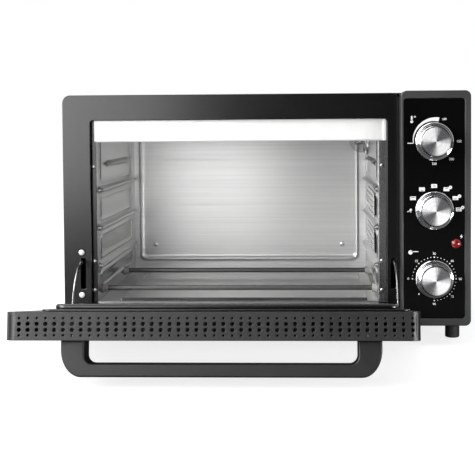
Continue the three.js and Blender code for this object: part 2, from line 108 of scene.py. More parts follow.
def ramp(tree, value, low, high, start=0.3, stop=0.7):
    """A value between 0 and 1 turned into a range of numbers or colours."""
    node = tree.nodes.new("ShaderNodeValToRGB")
    node.color_ramp.elements[0].position = start
    node.color_ramp.elements[1].position = stop
    for element, level in zip(node.color_ramp.elements, (low, high)):
        element.color = (*level, 1) if isinstance(level, tuple) else (level, level, level, 1)
    tree.links.new(value, node.inputs["Fac"])
    return node.outputs["Color"]


def surface(name, color, rough, metal=0.0, spread=0.25, grain=0.0, grain_scale=900,
            stretch=(1, 1, 1), mottle=0.08, coat=0.0, ior=1.5, cloud_scale=14):
    """Painted, moulded or rolled surface: mottled colour and gloss, and a fine grain in the
    bump. A stretch turns the mottling and the grain into brushed streaks."""
    material, tree, shader = new_material(name)
    shader.inputs["Metallic"].default_value = metal
    shader.inputs["IOR"].default_value = ior
    shader.inputs["Coat Weight"].default_value = coat
    shader.inputs["Coat Roughness"].default_value = 0.08
    cloud = noise_node(tree, cloud_scale, 4, stretch)
    dark = tuple(c * (1 - mottle) for c in color)
    light = tuple(min(c * (1 + mottle), 1) for c in color)
    tree.links.new(ramp(tree, cloud, dark, light), shader.inputs["Base Color"])
    streak = noise_node(tree, 60, 3, stretch)
    rough_out = ramp(tree, streak, rough * (1 - spread), min(rough * (1 + spread), 1))
    tree.links.new(rough_out, shader.inputs["Roughness"])
    if grain:
        bump = tree.nodes.new("ShaderNodeBump")
        bump.inputs["Strength"].default_value = grain
        bump.inputs["Distance"].default_value = 0.0002
        tree.links.new(noise_node(tree, grain_scale, 2, stretch), bump.inputs["Height"])
        tree.links.new(bump.outputs["Normal"], shader.inputs["Normal"])
    return material


def glass(name, color, rough=0.02, alpha=0.3):
    """Tinted glass with a faint smear in its gloss."""
    material, tree, shader = new_material(name)
    shader.inputs["Base Color"].default_value = (*color, 1)
    shader.inputs["Alpha"].default_value = alpha
    shader.inputs["IOR"].default_value = 1.5
    smear = ramp(tree, noise_node(tree, 9, 4), rough, rough + 0.05)
    tree.links.new(smear, shader.inputs["Roughness"])
    return material


def spun(name):
    """Turned metal: fine rings, and a painted highlight: bright and dark fans painted into the base colour by
    angle, where the rings' reflections would fall.
    """
    material, tree, shader = new_material(name)
    shader.inputs["Metallic"].default_value = 0.35
    shader.inputs["Anisotropic"].default_value = 0.75
    place = tree.nodes.new("ShaderNodeTexCoord")
    parts = tree.nodes.new("ShaderNodeSeparateXYZ")
    tree.links.new(place.outputs["Object"], parts.inputs["Vector"])
    # painted highlight: the angle about the axis gives two bright and two dark fans, with radial streaks, in the
    # base colour
    angle = tree.nodes.new("ShaderNodeMath")
    angle.operation = "ARCTAN2"
    tree.links.new(parts.outputs["Z"], angle.inputs[0])
    tree.links.new(parts.outputs["X"], angle.inputs[1])
    double = tree.nodes.new("ShaderNodeMath")
    double.operation = "MULTIPLY_ADD"
    double.inputs[1].default_value = 2.0
    double.inputs[2].default_value = PAINTED_FAN_TURN
    tree.links.new(angle.outputs[0], double.inputs[0])
    wave = tree.nodes.new("ShaderNodeMath")
    wave.operation = "SINE"
    tree.links.new(double.outputs[0], wave.inputs[0])
    lift = tree.nodes.new("ShaderNodeMath")
    lift.operation = "MULTIPLY_ADD"
    lift.inputs[1].default_value = 0.5
    lift.inputs[2].default_value = 0.5
    tree.links.new(wave.outputs[0], lift.inputs[0])
    rays = tree.nodes.new("ShaderNodeTexNoise")
    rays.noise_dimensions = "1D"
    rays.inputs["Scale"].default_value = 9
    tree.links.new(angle.outputs[0], rays.inputs["W"])
    streaked = tree.nodes.new("ShaderNodeMath")
    streaked.operation = "MULTIPLY_ADD"
    streaked.inputs[1].default_value = 0.45
    tree.links.new(rays.outputs["Fac"], streaked.inputs[0])
    lower = tree.nodes.new("ShaderNodeMath")
    lower.operation = "SUBTRACT"
    lower.inputs[1].default_value = 0.22
    tree.links.new(lift.outputs[0], lower.inputs[0])
    tree.links.new(lower.outputs[0], streaked.inputs[2])
    painted_fan_tone = ramp(tree, streaked.outputs[0], (0.1, 0.1, 0.105), (0.98, 0.98, 0.98), 0.12, 0.78)
    length = tree.nodes.new("ShaderNodeVectorMath")
    length.operation = "LENGTH"
    tree.links.new(place.outputs["Object"], length.inputs[0])
    rings = tree.nodes.new("ShaderNodeTexNoise")
    rings.noise_dimensions = "1D"
    rings.inputs["Scale"].default_value = 2600
    rings.inputs["Detail"].default_value = 2
    tree.links.new(length.outputs["Value"], rings.inputs["W"])
    mix = tree.nodes.new("ShaderNodeMix")
    mix.data_type = "RGBA"
    mix.blend_type = "MULTIPLY"
    mix.inputs["Factor"].default_value = 0.35
    tree.links.new(painted_fan_tone, mix.inputs["A"])
    tree.links.new(rings.outputs["Fac"], mix.inputs["B"])
    tree.links.new(mix.outputs["Result"], shader.inputs["Base Color"])
    tree.links.new(ramp(tree, rings.outputs["Fac"], 0.24, 0.4), shader.inputs["Roughness"])
    bump = tree.nodes.new("ShaderNodeBump")
    bump.inputs["Strength"].default_value = 0.25
    bump.inputs["Distance"].default_value = 0.0001
    tree.links.new(rings.outputs["Fac"], bump.inputs["Height"])
    tree.links.new(bump.outputs["Normal"], shader.inputs["Normal"])
    return material


PAINTED_FAN_TURN = math.pi  # turns the painted highlight fans so that the upper left and lower right are painted bright

LOOKS = {
    "black_paint": surface("black_paint", (0.003, 0.003, 0.0033), 0.21, spread=0.04, grain=0.015,
                           grain_scale=900, ior=1.62),
    "casing_paint": surface("casing_paint", (0.02, 0.02, 0.021), 0.42, spread=0.06, grain=0.05,
                            grain_scale=1400, mottle=0.04),
    "column_shell": surface("column_shell", (0.034, 0.0343, 0.0355), 0.42, spread=0.15, grain=0.12,
                            grain_scale=1600),
    "fascia": surface("fascia", (0.002, 0.002, 0.0023), 0.09, spread=0.2, ior=1.38),
    "dark_plastic": surface("dark_plastic", (0.02, 0.0203, 0.0213), 0.4, spread=0.15, grain=0.3,
                            grain_scale=1500),
    "galvanised": surface("galvanised", (0.5, 0.51, 0.51), 0.45, 0.8, 0.1, 0.03, 300, mottle=0.06,
                          cloud_scale=60),
    "cavity_steel": surface("cavity_steel", (0.78, 0.78, 0.775), 0.38, 0.8, 0.07, 0.012, 900,
                            (0.05, 1, 6), mottle=0.05, cloud_scale=90),
    "wall_steel": surface("wall_steel", (0.56, 0.56, 0.555), 0.24, 1.0, 0.08, 0.01, 900,
                          (1, 0.3, 3), mottle=0.04),
    "floor_steel": surface("floor_steel", (0.62, 0.62, 0.615), 0.4, 0.9, 0.1, 0.012, 900,
                           (0.1, 3, 1), mottle=0.08, cloud_scale=60),
    "bright_sheet": surface("bright_sheet", (0.93, 0.93, 0.92), 0.5, 0.35, 0.2, 0.1, 300,
                            (8, 1, 1), mottle=0.02),
    "hardware": surface("hardware", (0.72, 0.72, 0.73), 0.24, 1.0, 0.3, 0.1, 700),
    "zinc": surface("zinc", (0.9, 0.9, 0.9), 0.35, 0.3, 0.2, 0.1, 700),
    "knob_chrome": surface("knob_chrome", (0.82, 0.83, 0.84), 0.07, 1.0, 0.3, mottle=0.03),
    "heater": surface("heater", (0.12, 0.118, 0.115), 0.42, 0.8, 0.3, 0.3, 500, (0.3, 1, 1),
                      mottle=0.2),
    "ceramic": surface("ceramic", (0.34, 0.33, 0.31), 0.45, spread=0.2, grain=0.2),
    "rubber": surface("rubber", (0.02, 0.02, 0.02), 0.6, spread=0.15, grain=0.4),
    "switch_body": surface("switch_body", (0.55, 0.53, 0.48), 0.5, grain=0.2),
    "print": surface("print", (0.86, 0.86, 0.85), 0.45, spread=0.1, mottle=0.03),
    # painted shade: a near-black look for the shade in holes, behind perforations and round screw heads
    "hole": surface("hole", (0.004, 0.004, 0.004), 0.9, spread=0.05),
    "red_lens": surface("red_lens", (0.2, 0.003, 0.006), 0.12, spread=0.3, coat=1.0, mottle=0.2),
    "glass": glass("glass", (0.03, 0.033, 0.033), alpha=0.42),
    "lamp_glass": glass("lamp_glass", (0.3, 0.3, 0.3), alpha=0.22),
    "spun": spun("spun"),
}


# ------------------------------------------------------------------ mesh building blocks
PLANES = {  # where a flat drawing's u, v and thickness go
    "front": Matrix(((1, 0, 0, 0), (0, 0, 1, 0), (0, 1, 0, 0), (0, 0, 0, 1))),
    "plan": Matrix.Identity(4),
    "side": Matrix(((0, 0, 1, 0), (1, 0, 0, 0), (0, 1, 0, 0), (0, 0, 0, 1))),
}


def laid(mesh, plane, along=0.0):
    """Moves a flat drawing along its thickness and stands it up in its plane."""
    turn = PLANES[plane]
    mesh.transform(turn @ Matrix.Translation((0, 0, along)))
    if turn.determinant() < 0:
        mesh.flip_normals()
    return mesh


def arc(u, v, radius, start, stop, steps, squash=1.0):
    """Points along an arc, from start to stop in degrees. A squash other than 1 makes it oval."""
    angles = [math.radians(start + (stop - start) * i / steps) for i in range(steps + 1)]
    return [(u + radius * math.cos(a), v + squash * radius * math.sin(a)) for a in angles]


def rounded(u0, u1, v0, v1, radius, steps=8):
    """The outline of a rectangle with round corners."""
    return (arc(u1 - radius, v0 + radius, radius, -90, 0, steps)
            + arc(u1 - radius, v1 - radius, radius, 0, 90, steps)
            + arc(u0 + radius, v1 - radius, radius, 90, 180, steps)
            + arc(u0 + radius, v0 + radius, radius, 180, 270, steps))


def circle(u, v, radius, steps=28):
    return arc(u, v, radius, 0, 360 - 360 / steps, steps - 1)


def mesh_from(thing):
    """The mesh of a curve or text, with its doubled points merged."""
    holder = bpy.data.objects.new("holder", thing)
    bpy.context.scene.collection.objects.link(holder)
    bpy.context.view_layer.update()
    shape = holder.evaluated_get(bpy.context.evaluated_depsgraph_get())
    mesh = bpy.data.meshes.new_from_object(shape)
    bpy.data.objects.remove(holder)
    tidy(mesh)
    return mesh


def tidy(mesh):
    """Merges doubled points and turns every face outwards."""
    work = bmesh.new()
    work.from_mesh(mesh)
    bmesh.ops.remove_doubles(work, verts=work.verts, dist=1e-4)
    bmesh.ops.recalc_face_normals(work, faces=work.faces)
    work.to_mesh(mesh)
    work.free()
    mesh.materials.clear()


def plate(plane, low, high, *loops, edge=0.4, steps=2):
    """A sheet from low to high across a plane, cut to the first loop less the others."""
    curve = bpy.data.curves.new("plate", "CURVE")
    curve.dimensions = "2D"
    curve.fill_mode = "BOTH"
    edge = min(edge, (high - low) / 2 * 0.95)
    curve.extrude = (high - low) / 2 - edge
    curve.bevel_depth = edge
    curve.offset = -edge
    curve.bevel_resolution = steps
    for loop in loops:
        spline = curve.splines.new("POLY")
        spline.points.add(len(loop) - 1)
        for point, (u, v) in zip(spline.points, loop):
            point.co = (u, v, 0, 1)
        spline.use_cyclic_u = True
    return laid(mesh_from(curve), plane, (low + high) / 2)


def turned(profile, at, axis, steps=56):
    """A profile of (radius, distance along the axis) turned about an axis through a point."""
    work = bmesh.new()
    rings = []
    for radius, along in profile:
        if radius < 1e-6:
            rings.append([work.verts.new((0, 0, along))])
            continue
        angles = [2 * math.pi * i / steps for i in range(steps)]
        rings.append([work.verts.new((radius * math.cos(a), radius * math.sin(a), along))
                      for a in angles])
    is_tube = len(rings[0]) > 1  # the profile closes on itself, away from the axis
    for a, b in zip(rings, rings[1:] + rings[:1] if is_tube else rings[1:]):
        for i in range(steps):
            j = (i + 1) % steps
            corners = [a[i % len(a)], a[j % len(a)], b[j % len(b)], b[i % len(b)]]
            work.faces.new(list(dict.fromkeys(corners)))
    bmesh.ops.recalc_face_normals(work, faces=work.faces)
    mesh = bpy.data.meshes.new("turned")
    work.to_mesh(mesh)
    work.free()
    turn = Vector((0, 0, 1)).rotation_difference(Vector(axis)).to_matrix().to_4x4()
    mesh.transform(Matrix.Translation(Vector(at)) @ turn)
    return mesh


def block(x0, x1, y0, y1, z0, z1, edge=0.3):
    """A box with rounded edges."""
    work = bmesh.new()
    bmesh.ops.create_cube(work, size=1)
    mesh = bpy.data.meshes.new("block")
    size = Matrix.Diagonal((x1 - x0, y1 - y0, z1 - z0, 1))
    bmesh.ops.transform(work, matrix=size, verts=work.verts)
    if edge:
        bmesh.ops.bevel(work, geom=work.edges, offset=edge, segments=2, affect="EDGES", profile=0.5)
    work.to_mesh(mesh)
    work.free()
    mesh.transform(Matrix.Translation(((x0 + x1) / 2, (y0 + y1) / 2, (z0 + z1) / 2)))
    return mesh


def pressed(plane, u0, u1, v0, v1, at, thickness, height, step=1.6):
    """A sheet with shapes pressed into it. Its face is at plus height(u, v), its back is
    thickness below that, and both are negative on a sheet that faces the other way."""
    nu, nv = round((u1 - u0) / step), round((v1 - v0) / step)
    u, v = np.meshgrid(np.linspace(u0, u1, nu + 1), np.linspace(v0, v1, nv + 1), indexing="ij")
    face = at + height(u, v)
    layers = [np.stack([u, v, w], -1).reshape(-1, 3) for w in (face, face - thickness)]
    count = (nu + 1) * (nv + 1)
    i, j = np.meshgrid(np.arange(nu), np.arange(nv), indexing="ij")
    first = (i * (nv + 1) + j).ravel()
    quads = np.stack([first, first + nv + 1, first + nv + 2, first + 1], -1)
    rim = ([k * (nv + 1) for k in range(nu + 1)]
           + [nu * (nv + 1) + k for k in range(1, nv + 1)]
           + [k * (nv + 1) + nv for k in range(nu - 1, -1, -1)]
           + list(range(nv - 1, 0, -1)))
    faces = quads.tolist() + (quads[:, ::-1] + count).tolist()
    faces += [(rim[k - 1], rim[k - 1] + count, rim[k] + count, rim[k]) for k in range(len(rim))]
    mesh = bpy.data.meshes.new("pressed")
    mesh.from_pydata(np.concatenate(layers).tolist(), [], faces)
    tidy(mesh)
    return laid(mesh, plane)


def fused(meshes):
    """Several meshes as one."""
    work = bmesh.new()
    for mesh in meshes:
        work.from_mesh(mesh)
    joined = bpy.data.meshes.new("fused")
    work.to_mesh(joined)
    work.free()
    return joined


def carved(mesh, *cutters):
    """The mesh less each cutter, by exact boolean."""
    body = bpy.data.objects.new("body", mesh)
    bpy.context.scene.collection.objects.link(body)
    tools = []
    for cutter in cutters:
        tool = bpy.data.objects.new("tool", cutter)
        bpy.context.scene.collection.objects.link(tool)
        tools.append(tool)
        change = body.modifiers.new("cut", "BOOLEAN")
        change.operation = "DIFFERENCE"
        change.solver = "EXACT"
        change.object = tool
    bpy.context.view_layer.update()
    shape = body.evaluated_get(bpy.context.evaluated_depsgraph_get())
    result = bpy.data.meshes.new_from_object(shape)
    for thing in (body, *tools):
        bpy.data.objects.remove(thing)
    return result


BODY_OF = {n: b for b, nodes in frame["record"]["behaviour"]["bodies"].items() for n in nodes}
SLOT_OF = {s["node"]: s["material_slot"] for s in frame["record"]["subparts"]}


def piece(name, mesh, look, body="chassis", stands_for=(), slot=None, sharp=32, center=None):
    """Puts a mesh into the scene, on its body, with its material. The slot argument is not used."""
    mesh.transform(TO_ROW)
    if body == "door":
        mesh.transform(SWING)
    thing = bpy.data.objects.new(name, mesh)
    bpy.context.scene.collection.objects.link(thing)
    if center is not None:
        middle = TO_ROW @ Vector(center)
        mesh.transform(Matrix.Translation(-middle))
        thing.location = middle
    mesh.materials.clear()
    mesh.materials.append(LOOKS[look])
    mesh.shade_smooth()
    mesh.set_sharp_from_angle(angle=math.radians(sharp))
    level = thing.modifiers.new("level", "WEIGHTED_NORMAL")  # keeps large faces flat to the eye
    level.keep_sharp = True
    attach(thing, body)
    if stands_for:
        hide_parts(*stands_for)
    return thing


def stand_in(name, mesh, look, **more):
    """A finer piece with the name and body of the CAD node that it replaces."""
    return piece(name + "_fine", mesh, look, body=BODY_OF[name], stands_for=(name,), **more)


def pan_head(at, axis, radius=3.0, height=1.6):
    """A screw head with a crossed recess."""
    dome = [(0, height * 0.75), (radius * 0.35, height * 0.72), (radius * 0.8, height * 0.5)]
    head = turned([(0, 0), (radius, 0), (radius, height * 0.2), *reversed(dome[1:]), dome[0]],
                  (0, 0, 0), (0, 0, 1), 28)
    arm = radius * 0.62
    slots = [block(-arm, arm, -radius * 0.13, radius * 0.13, height * 0.3, height * 2, 0),
             block(-radius * 0.13, radius * 0.13, -arm, arm, height * 0.3, height * 2, 0)]
    mesh = carved(head, *slots)
    turn = Vector((0, 0, 1)).rotation_difference(Vector(axis)).to_matrix().to_4x4()
    mesh.transform(Matrix.Translation(Vector(at)) @ turn)
    return mesh


# ------------------------------------------------------------------ outer shell
BEZEL = spot("front_bezel")
CASING = spot("outer_casing")
COLUMN = spot("control_housing")
FASCIA = spot("control_fascia")
APRON = spot("top_apron")
LINING_LEFT = spot("cavity_left_wall")
LINING_RIGHT = spot("cavity_right_wall")
LINING_BACK = spot("cavity_back")
FLOOR = spot("cavity_floor")
TRAY = spot("crumb_tray")
SCREWS = [spot("bezel_screw_upper"), spot("bezel_screw_lower")]
OPENING = SimpleNamespace(x0=29.0, x1=APRON.x1, z0=36.0, z1=APRON.z1 - 3)
INNER = SimpleNamespace(x0=LINING_LEFT.x0 + 8, x1=LINING_RIGHT.x1 - 8)
# Where each door stay stands in X, and how far its foot reaches to the left and the right of it.
STAYS = {"left": (20.2, 5.2, 0.7), "right": (343.5, 0.7, 3.4)}


def front_frame():
    """The gloss frame, with a flange round its opening and a slot for each stay."""
    slots = [rounded(x - 2.5, x + 2.5, 54.4, 86.6, 1.2, 4) for x, _, _ in STAYS.values()]
    outline = rounded(BEZEL.x0, BEZEL.x1, BEZEL.z0, BEZEL.z1, 8, 12)
    hole = rounded(OPENING.x0, OPENING.x1, OPENING.z0, OPENING.z1, 3)
    flange = rounded(OPENING.x0 - 1.1, OPENING.x1 + 1.1, OPENING.z0 - 1.1, OPENING.z1 + 1.1, 4)
    meshes = [plate("front", 0, 2, outline, hole, *slots, edge=0.7, steps=3),
              plate("front", 0.5, 4, flange, hole, edge=0.2)]
    stand_in("front_bezel", fused(meshes), "black_paint")


def screws_and_feet():
    for screw, node in zip(SCREWS, ("bezel_screw_upper", "bezel_screw_lower")):
        head = pan_head((screw.x, -0.5, screw.z), (0, -1, 0), 2.95, 1.5)
        stand_in(node, head, "zinc")
        # painted shade: a near-black ring in the hole look round each screw head, where its shade falls
        shade_ring = turned([(2.5, 0), (4.2, 0), (4.2, 0.25), (3.9, 0.4), (2.5, 0.4)],
                        (screw.x, -0.05, screw.z), (0, -1, 0), 32)
        piece(node + "_washer", shade_ring, "hole", slot="black_paint")
    for node in ("foot_front_left", "foot_front_right", "foot_rear_left", "foot_rear_right"):
        foot = spot(node)
        r, top = (foot.x1 - foot.x0) / 2, foot.z1
        profile = [(0, 0), (r - 1.4, 0), (r - 0.4, 0.5), (r, 1.6), (r, top - 6.4),
                   (r - 0.5, top - 6), (r - 0.5, top - 5.4), (r, top - 5), (r, top), (0, top)]
        stand_in(node, turned(profile, (foot.x, foot.y, 0), (0, 0, 1), 48), "rubber")


def rear():
    """The back panel with its two rows of slots, its screws, the cord gland and the stops."""
    panel = spot("rear_panel")
    gland = spot("cord_gland")
    count, pitch, first, length, tall = 10, 22, 60, 14, 4
    slots = [rounded(first + i * pitch, first + i * pitch + length, z, z + tall, 1.9, 5)
             for i in range(count) for z in (58, 214)]
    outline = rounded(panel.x0, panel.x1, panel.z0, panel.z1, 7.6, 10)
    bore = circle(gland.x, gland.z, 6.3)
    sheet = plate("front", panel.y0, panel.y1, outline, bore, *slots, edge=0.35)
    stand_in("rear_panel", sheet, "galvanised")
    heads = [pan_head((x, panel.y1, z), (0, 1, 0), 3.2, 1.7)
             for x in (panel.x0 + 12, (panel.x0 + panel.x1) / 2, panel.x1 - 12)
             for z in (panel.z0 + 10, panel.z1 - 10)]
    piece("rear_screws", fused(heads), "hardware")
    base = panel.y1 + 0.3
    r = gland.radius
    profile = [(3.6, -4), (6.1, -4), (6.1, -0.3), (r - 0.6, 0), (r, 0.8), (r, 3.2), (r - 0.8, 4),
               (6.6, 4.6), (5.6, gland.y1 - base - 0.4), (5.2, gland.y1 - base),
               (3.6, gland.y1 - base)]
    bush = turned(profile, (gland.x, base, gland.z), (0, 1, 0), 48)
    stand_in("cord_gland", bush, "rubber")
    for node in ("rear_spacer_left", "rear_spacer_right"):
        stop = spot(node)
        r, tip = (stop.x1 - stop.x0) / 2, stop.y1 - stop.y0
        profile = [(0, 0), (r, 0), (r, 2.5), (r - 1.6, 3.4), (r - 1.9, tip - 1.5), (r - 2.9, tip),
                   (0, tip)]
        mesh = turned(profile, (stop.x, stop.y0, stop.z), (0, 1, 0), 48)
        stand_in(node, mesh, "dark_plastic")


def casing_screws():
    """The flush screws that hold the casing, near the foot of each side."""
    z = CASING.z0 + 10
    for side, x, out in (("left", CASING.x0, -1), ("right", CASING.x1, 1)):
        heads = [pan_head((x - out * 0.2, y, z), (out, 0, 0), 2.6, 0.2)
                 for y in (CASING.y0 + 12, CASING.y1 - 12)]
        piece("casing_screws_" + side, fused(heads), "hardware")


# ------------------------------------------------------------------ cavity
def smooth(value):
    value = np.clip(value, 0, 1)
    return value * value * (3 - 2 * value)


def bead(distance, half, height):
    """A rounded ridge along a line, from the distance to that line."""
    return height * smooth(1 - np.abs(distance) / half)


def to_rectangle(u, v, u0, u1, v0, v1, radius):
    """Signed distance to a rounded rectangle, negative inside."""
    du = np.abs(u - (u0 + u1) / 2) - (u1 - u0) / 2 + radius
    dv = np.abs(v - (v0 + v1) / 2) - (v1 - v0) / 2 + radius
    outside = np.hypot(np.maximum(du, 0), np.maximum(dv, 0))
    return outside + np.minimum(np.maximum(du, dv), 0) - radius


def to_line(u, v, u0, u1, level):
    """Distance to a level stretch of line."""
    return np.hypot(np.maximum(np.maximum(u0 - u, u - u1), 0), v - level)


RAIL_LEVELS = (77.0, 117.0, 157.0)
RAIL = {"start": 15.0, "stop": 268.0, "half": 4.6, "height": 5.2}
SHORT_RAIL = {"start": 66.0, "stop": 212.0, "level": 183.5}
RIVET_LEVELS = (182, 82.5, 52)


def side_relief(y, z):
    """Shelf rails with a shallow bead round each field between them."""
    rise = np.zeros_like(y)
    for level in RAIL_LEVELS:
        gap = to_line(y, z, RAIL["start"] + 3, RAIL["stop"] - 3, level)
        rise = np.maximum(rise, bead(gap, RAIL["half"], RAIL["height"]))
    gap = to_line(y, z, SHORT_RAIL["start"] + 3, SHORT_RAIL["stop"] - 3, SHORT_RAIL["level"])
    rise = np.maximum(rise, bead(gap, 4, 4.4))
    for low, high in zip((46,) + RAIL_LEVELS, RAIL_LEVELS + (224,)):
        frame_gap = to_rectangle(y, z, 28, 252, low + 8, high - 8, 5)
        rise = np.maximum(rise, bead(frame_gap, 2.6, 1.3))
    return rise


def side_walls():
    """Each pressed wall with its front flange and rivets. The left flange, steel like the right one, takes the
    black paint look as painted shade.
    """
    for node, wall, face, inward in (("cavity_left_wall", LINING_LEFT, INNER.x0, 1),
                                     ("cavity_right_wall", LINING_RIGHT, INNER.x1, -1)):
        sheet = pressed("side", wall.y0 + 0.2, wall.y1, wall.z0, wall.z1, face, inward * 1.1,
                        lambda y, z: inward * side_relief(y, z))
        x0, x1 = sorted((face, face - inward * 8))
        flange = block(x0, x1, wall.y0, wall.y0 + 1.2, wall.z0, wall.z1, 0.3)
        if inward > 0:
            stand_in(node, sheet, "wall_steel")
            # painted shade: the left flange is drawn in black paint where its shade falls
            piece("left_flange_painted_shade", flange, "black_paint")
        else:
            stand_in(node, fused([sheet, flange]), "wall_steel")
        rivets = [turned([(0, 1.1), (1.3, 0.8), (2.1, 0), (0, 0)],
                         (face - inward * 3.2, wall.y0 + 0.05, z), (0, -1, 0), 20)
                  for z in RIVET_LEVELS]
        piece(node.replace("wall", "rivets"), fused(rivets), "hardware", slot="cavity_steel")


def fan_grille():
    """Two perforated plates over the fan, set on the right wall between its rails."""
    low, high = 56.0, 208.0
    for name, bottom, top in (("fan_grille_lower", 83, 111), ("fan_grille_upper", 123, 151)):
        slots = [rounded(y, y + 11, z - 1.7, z + 1.7, 1.65, 4)
                 for y in np.arange(low + 6, high - 14, 17.0)
                 for z in np.arange(bottom + 4.5, top - 3, 6.2)]
        sheet = plate("side", INNER.x1 - 2.6, INNER.x1 - 1.9, rounded(low, high, bottom, top, 3),
                      *slots, edge=0.2, steps=1)
        # painted shade: a near-black sheet behind the perforations stands in for the shade behind the grille
        shade_backing = block(INNER.x1 - 1.7, INNER.x1 - 0.2, low + 2, high - 2, bottom + 2, top - 2, 0)
        piece(name, sheet, "wall_steel", slot="cavity_steel")
        piece(name + "_painted_shade", shade_backing, "hole", slot="cavity_steel")


def back_relief(x, z):
    """A large field set back from a bead round it."""
    edge = to_rectangle(x, z, 42.8, 317.7, 54.5, 260, 6)
    return -(bead(edge, 3.4, 2.4) + 0.7 * smooth(0.5 - edge / 6))


def back_wall():
    y = LINING_BACK.y1 - 1.2
    sheet = pressed("front", LINING_BACK.x0, LINING_BACK.x1, LINING_BACK.z0, LINING_BACK.z1, y,
                    -1.1, back_relief)
    stand_in("cavity_back", sheet, "cavity_steel")
    heads = [pan_head((x, y - 0.9, 72.6), (0, -1, 0), 3, 1.4) for x in (60.6, 299.2)]
    piece("back_wall_screws", fused(heads), "hardware")


def floor_and_ceiling():
    """The cavity's floor and ceiling, and the crumb tray, whose front wall is darker as painted shade."""
    def floor_relief(x, y):
        return bead(to_rectangle(x, y, 44, 319, 20, 270, 8), 3, 0.5)

    top = pressed("plan", FLOOR.x0, FLOOR.x1, FLOOR.y0, FLOOR.y1, FLOOR.z1 - 0.5, 0.6,
                  floor_relief, 3)
    lip = block(FLOOR.x0, FLOOR.x1, FLOOR.y0, FLOOR.y0 + 1.1, FLOOR.z0, FLOOR.z1 - 0.2, 0.3)
    stand_in("cavity_floor", fused([top, lip]), "floor_steel")
    ceiling = spot("cavity_ceiling")
    sheet = block(ceiling.x0, ceiling.x1, ceiling.y0, ceiling.y1, ceiling.z0, ceiling.z0 + 1.1)
    lip = block(ceiling.x0, ceiling.x1, ceiling.y0, ceiling.y0 + 1.1, ceiling.z0, ceiling.z1)
    stand_in("cavity_ceiling", fused([sheet, lip]), "cavity_steel")
    t = TRAY
    bed = block(t.x0, t.x1, t.y0, t.y1, t.z0, t.z0 + 0.8, 0.2)
    sides = [block(t.x0, t.x0 + 1, t.y0, t.y1, t.z0, t.z1, 0.3),
             block(t.x1 - 1, t.x1, t.y0, t.y1, t.z0, t.z1, 0.3),
             block(t.x0, t.x1, t.y1 - 1, t.y1, t.z0, t.z1, 0.3)]
    stand_in("crumb_tray", fused([bed, *sides]), "floor_steel")
    # painted shade: the steel tray's front wall takes the dark heater look, darkening the floor's front edge
    front = block(t.x0, t.x1, t.y0, t.y0 + 1, t.z0, t.z1, 0.3)
    piece("crumb_tray_front_painted_shade", front, "heater", slot=SLOT_OF["crumb_tray"])


def apron():
    """The bright strip across the top of the opening, hemmed below and folded at its right end."""
    a = APRON
    sheet = block(a.x0, a.x1, a.y0, a.y0 + 1.2, a.z0, a.z1, 0.4)
    hem = block(a.x0, a.x1, a.y0, a.y1, a.z0, a.z0 + 1.4, 0.5)
    fold = block(a.x1 - 3.4, a.x1 - 0.2, a.y0 - 1.2, a.y0 + 0.2, a.z0, a.z1, 0.5)
    stand_in("top_apron", fused([sheet, hem, fold]), "bright_sheet")


def heating_rods():
    for node in ("lower_front_element", "lower_rear_element", "upper_front_element",
                 "upper_rear_element"):
        rod = spot(node)
        r, length = rod.radius, rod.x1 - rod.x0
        profile = [(0, 0), (r * 0.6, 0), (r * 0.6, 5), (r, 5.6), (r, length - 5.6),
                   (r * 0.6, length - 5), (r * 0.6, length), (0, length)]
        stand_in(node, turned(profile, (rod.x0, rod.y, rod.z), (1, 0, 0), 32), "heater")
        collar = [(r + 0.1, 0), (5.6, 0), (5.6, 1.2), (4.4, 1.6), (4.2, 5.4), (r + 0.1, 5.6)]
        ends = [turned(collar, (INNER.x0 + 0.1, rod.y, rod.z), (1, 0, 0), 28),
                turned(collar, (INNER.x1 - 0.1, rod.y, rod.z), (-1, 0, 0), 28)]
        piece(node + "_collars", fused(ends), "ceramic", slot="heater")


def lamp():
    base, dome = spot("oven_lamp_base"), spot("oven_lamp_glass")
    r = (base.y1 - base.y0) / 2
    ring = [(0, 0), (r, 0), (r, 1.6), (r - 1, 2.6), (r - 2.4, 3), (r - 2.6, 5), (0, 5)]
    middle = (base.x1, base.y, base.z)
    stand_in("oven_lamp_base", turned(ring, middle, (-1, 0, 0), 48), "hardware")
    r, reach = (dome.y1 - dome.y0) / 2, dome.x1 - dome.x0
    collar = 3
    bend = [math.radians(10 * i) for i in range(9)]
    outer = [(r * math.cos(t), collar + (reach - collar) * math.sin(t)) for t in bend]
    shell = turned([(0, 0), (r, 0), *outer, (0, reach)], (dome.x1, dome.y, dome.z), (-1, 0, 0), 48)
    stand_in("oven_lamp_glass", shell, "lamp_glass")
    bulb = [(0, 0), (5, 0), (5, 3), (6.5, 6), (6.2, 9), (4, 11.4), (0, 12.4)]
    piece("oven_lamp_bulb", turned(bulb, (dome.x1 + 0.2, dome.y, dome.z), (-1, 0, 0), 32),
          "hardware")


# ------------------------------------------------------------------ control column
KNOBS = {use: spot(use + "_knob_cap") for use in ("temperature", "function", "timer")}
POINTER = {"temperature": 180, "function": -21, "timer": 180}  # where each notch stands at rest
FACE = FASCIA.y0 + 0.5  # the fascia lies this deep in its border


